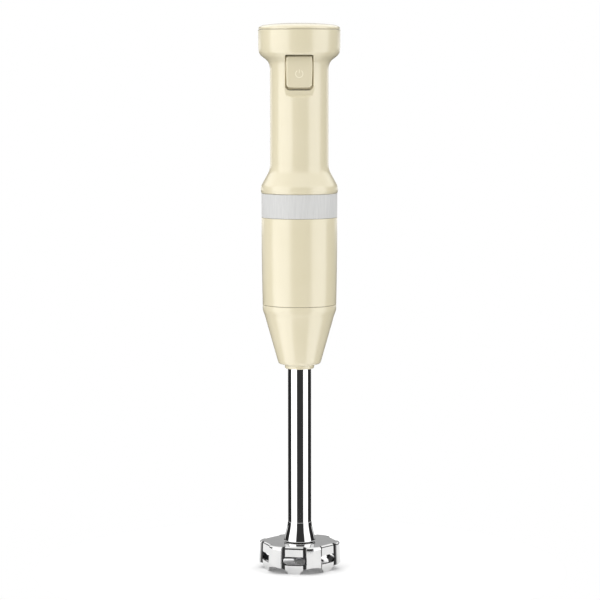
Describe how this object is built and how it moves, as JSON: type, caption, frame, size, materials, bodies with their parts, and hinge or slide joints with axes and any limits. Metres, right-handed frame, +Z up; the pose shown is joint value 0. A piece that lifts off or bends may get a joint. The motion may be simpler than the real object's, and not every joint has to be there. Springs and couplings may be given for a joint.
{
  "type": "immersion blender",
  "caption": "Slim corded immersion blender: round handle with thumb lock button and rear trigger, steel band, twist-off steel arm and windowed six-sided bell guard over the blade.",
  "frame": {"origin": "on the long axis, in the plane of the bell's six feet", "axes": "+Z up along the long axis; -Y out of the front, where the lock button is; +X to the right seen from the front"},
  "size_m": [0.0618, 0.0614, 0.411],
  "materials": {
    "cream_plastic": "moulded gloss ABS, warm cream",
    "polished_steel": "mirror-polished stainless steel",
    "brushed_steel": "brushed stainless steel",
    "plain_steel": "plain machined steel",
    "dark_plastic": "moulded glass-filled nylon",
    "grey_plastic": "moulded ABS, grey",
    "white_nylon": "moulded acetal, natural",
    "black_rubber": "moulded rubber",
    "bronze": "sintered bronze",
    "copper": "enamelled copper",
    "aluminium": "extruded aluminium",
    "ferrite": "sintered ferrite or carbon",
    "board_laminate": "glass-epoxy laminate",
    "red_wire": "extruded PVC insulation",
    "blue_sleeve": "extruded PVC sleeve"
  },
  "bodies": {
    "motor_body": {"handle_front_shell": "cream_plastic", "handle_rear_shell": "cream_plastic", "top_cap": "cream_plastic", "trim_band": "brushed_steel", "motor_sleeve": "cream_plastic", "bayonet_socket": "dark_plastic", "motor_seal": "black_rubber", "cord_inlet": "black_rubber", "cord_clamp": "grey_plastic", "shell_screw_left": "plain_steel", "shell_screw_right": "plain_steel", "chassis": "grey_plastic", "control_board": "board_laminate", "capacitor": "blue_sleeve", "choke_coil": "copper", "power_transistor": "dark_plastic", "heat_sink": "aluminium", "speed_switch": "dark_plastic", "lock_switch": "dark_plastic", "trigger_pin": "plain_steel", "trigger_spring": "plain_steel", "motor_can": "plain_steel", "magnet_left": "ferrite", "magnet_right": "ferrite", "motor_end_bell": "dark_plastic", "lower_bearing": "plain_steel", "upper_bearing": "plain_steel", "brush_holder_front": "bronze", "brush_holder_rear": "bronze", "brush_front": "ferrite", "brush_rear": "ferrite", "brush_spring_front": "plain_steel", "brush_spring_rear": "plain_steel", "motor_mount_lower": "black_rubber", "motor_mount_upper": "black_rubber", "motor_lead_red": "red_wire", "motor_lead_blue": "blue_sleeve"},
    "rotor": {"motor_shaft": "plain_steel", "armature_core": "plain_steel", "armature_windings": "copper", "commutator": "copper", "cooling_fan": "white_nylon", "drive_dog": "plain_steel"},
    "blending_arm": {"arm_collar": "cream_plastic", "collar_insert": "dark_plastic", "arm_tube": "polished_steel", "neck_ferrule": "polished_steel", "bell_guard": "polished_steel", "upper_bush": "bronze", "lower_bush": "bronze", "shaft_seal": "black_rubber"},
    "blade_drive": {"drive_shaft": "plain_steel", "drive_socket": "white_nylon", "blade": "brushed_steel", "blade_nut": "brushed_steel", "blade_spacer": "plain_steel", "retaining_clip": "plain_steel"},
    "lock_button": {"lock_button": "cream_plastic"},
    "speed_trigger": {"speed_trigger": "cream_plastic"},
    "speed_plunger": {"speed_plunger": "white_nylon"}
  },
  "joints": [
    {"name": "motor_spin", "type": "hinge", "parent": "motor_body", "child": "rotor", "pos_m": [0, 0, 0.237], "axis": [0, 0, 1], "continuous": true},
    {"name": "blade_spin", "type": "hinge", "parent": "motor_body", "child": "blade_drive", "pos_m": [0, 0, 0.1], "axis": [0, 0, 1], "continuous": true},
    {"name": "arm_twist", "type": "hinge", "parent": "motor_body", "child": "blending_arm", "pos_m": [0, 0, 0.2], "axis": [0, 0, 1], "range_deg": [0, 30]},
    {"name": "lock_press", "type": "slide", "parent": "motor_body", "child": "lock_button", "axis": [0, 1, 0], "range_m": [0, 0.002], "stiffness_N_per_m": 600, "springref_m": -0.001},
    {"name": "trigger_squeeze", "type": "hinge", "parent": "motor_body", "child": "speed_trigger", "pos_m": [0, 0.014, 0.361], "axis": [-1, 0, 0], "range_deg": [0, 4], "stiffness_Nm_per_rad": 2, "springref_deg": -2.01},
    {"name": "plunger_slide", "type": "slide", "parent": "motor_body", "child": "speed_plunger", "axis": [0, -1, 0], "range_m": [0, 0.0022]}
  ],
  "couplings": [
    {"joint": "blade_spin", "follows": "motor_spin", "ratio": 1},
    {"joint": "plunger_slide", "follows": "trigger_squeeze", "m_per_rad": 0.031}
  ]
}
